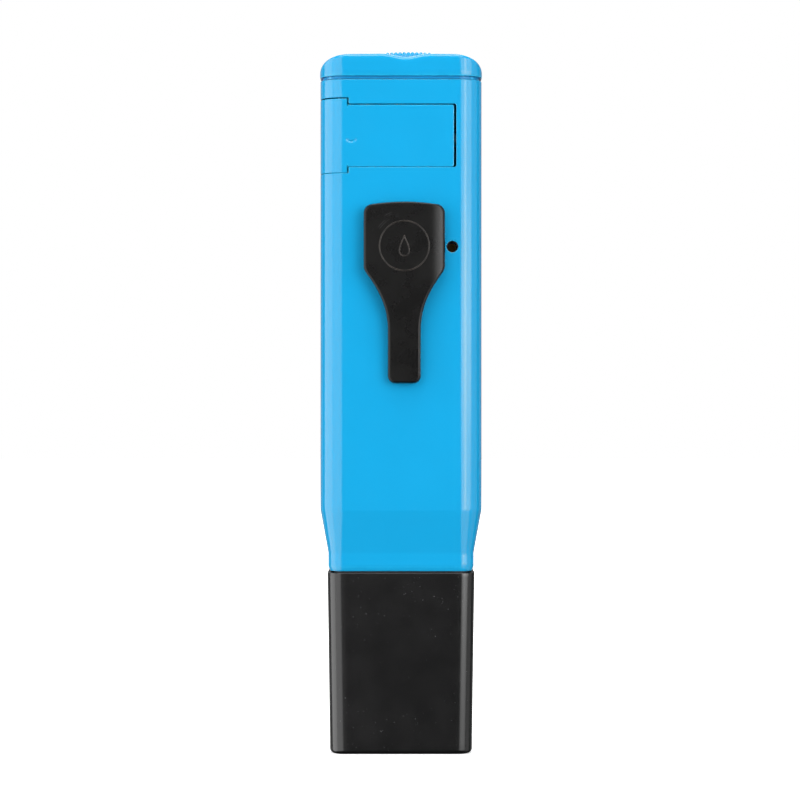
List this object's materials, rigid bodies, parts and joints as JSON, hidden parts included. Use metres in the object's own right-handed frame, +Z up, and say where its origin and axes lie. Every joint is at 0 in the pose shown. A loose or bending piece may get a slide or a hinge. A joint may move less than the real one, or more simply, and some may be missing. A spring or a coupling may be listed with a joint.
{
  "type": "ph test pen",
  "caption": "Slim pocket pH test pen with a pull-off storage cap, slide-out battery drawer, ribbed slide switch, pocket clip and rear calibration screw.",
  "frame": {"origin": "centre of the protective cap's flat foot, on the surface that the closed pen stands on", "axes": "+Z up along the pen, -Y out of the rear face with the pocket clip, +Y out of the display side, +X to the right when the rear face is looked at"},
  "size_m": [0.0404, 0.027, 0.175],
  "materials": {
    "case_plastic": "satin-gloss moulded bright blue plastic",
    "cap_plastic": "satin black moulded plastic",
    "black_plastic": "fine-grained satin black plastic",
    "inner_black_plastic": "plain dark grey moulded plastic",
    "clear_window": "clear polished plastic window",
    "display_grey": "grey-green liquid crystal glass, display off",
    "soft_rubber": "soft black rubber",
    "label_film": "printed plastic film without lettering",
    "board_green": "green solder mask on glass-fibre laminate",
    "chip_black": "moulded chip package with tinned ends",
    "capacitor_ceramic": "tan ceramic with tinned ends",
    "trimmer_blue": "blue moulded trimmer housing",
    "trimmer_brass": "turned brass",
    "contact_nickel": "nickel-plated spring steel",
    "bright_steel": "zinc-plated steel",
    "clear_glass": "thin blown glass",
    "silver": "silver wire",
    "junction_cloth": "off-white cloth wick",
    "lead_insulation": "thin wire insulation",
    "sponge": "open-cell sponge"
  },
  "bodies": {
    "cap": {"protective_cap": "cap_plastic", "cap_sponge": "sponge"},
    "case": {"rear_shell": "case_plastic", "front_shell": "case_plastic", "top_cap": "case_plastic", "slide_switch": "bright_steel", "display_window": "clear_window", "display_bezel": "inner_black_plastic", "lcd_glass": "display_grey", "zebra_strip_upper": "soft_rubber", "zebra_strip_lower": "soft_rubber", "front_label": "label_film", "circuit_board": "board_green", "controller_chip": "chip_black", "amplifier_chip": "chip_black", "board_resistors": "chip_black", "board_capacitors": "capacitor_ceramic", "quartz_crystal": "bright_steel", "trimmer_body": "trimmer_blue", "contact_spring": "contact_nickel", "contact_leaf": "contact_nickel", "board_screws": "bright_steel", "case_screws": "bright_steel", "clip_foot": "black_plastic", "electrode_holder": "inner_black_plastic", "electrode_seal": "soft_rubber", "cap_seal": "soft_rubber", "electrode_body": "inner_black_plastic", "glass_bulb": "clear_glass", "silver_wire": "silver", "reference_junction": "junction_cloth", "bulb_guard": "inner_black_plastic", "electrode_leads": "lead_insulation"},
    "switch": {"switch_knob": "case_plastic", "switch_lever": "inner_black_plastic"},
    "drawer": {"battery_drawer": "case_plastic", "drawer_strip": "contact_nickel", "button_cell_1": "contact_nickel", "button_cell_2": "contact_nickel", "button_cell_3": "contact_nickel", "button_cell_4": "contact_nickel"},
    "calibration_screw": {"trimmer_screw": "trimmer_brass"},
    "clip": {"pocket_clip": "black_plastic"}
  },
  "joints": [
    {"name": "switch_slide", "type": "slide", "parent": "case", "child": "switch", "axis": [1, 0, 0], "range_m": [-0.0037, 0]},
    {"name": "drawer_slide", "type": "slide", "parent": "case", "child": "drawer", "axis": [-1, 0, 0], "range_m": [0, 0.03]},
    {"name": "calibration_turn", "type": "hinge", "parent": "case", "child": "calibration_screw", "pos_m": [0.01266, -0.003, 0.12565], "axis": [0, 1, 0], "continuous": true},
    {"name": "clip_flex", "type": "hinge", "parent": "case", "child": "clip", "pos_m": [0.00081, -0.0132, 0.131], "axis": [-1, 0, 0], "range_deg": [0, 6], "stiffness_Nm_per_rad": 0.1},
    {"name": "cap_pull", "type": "slide", "parent": "cap", "child": "case", "axis": [0, 0, 1], "range_m": [0, 0.05]}
  ]
}
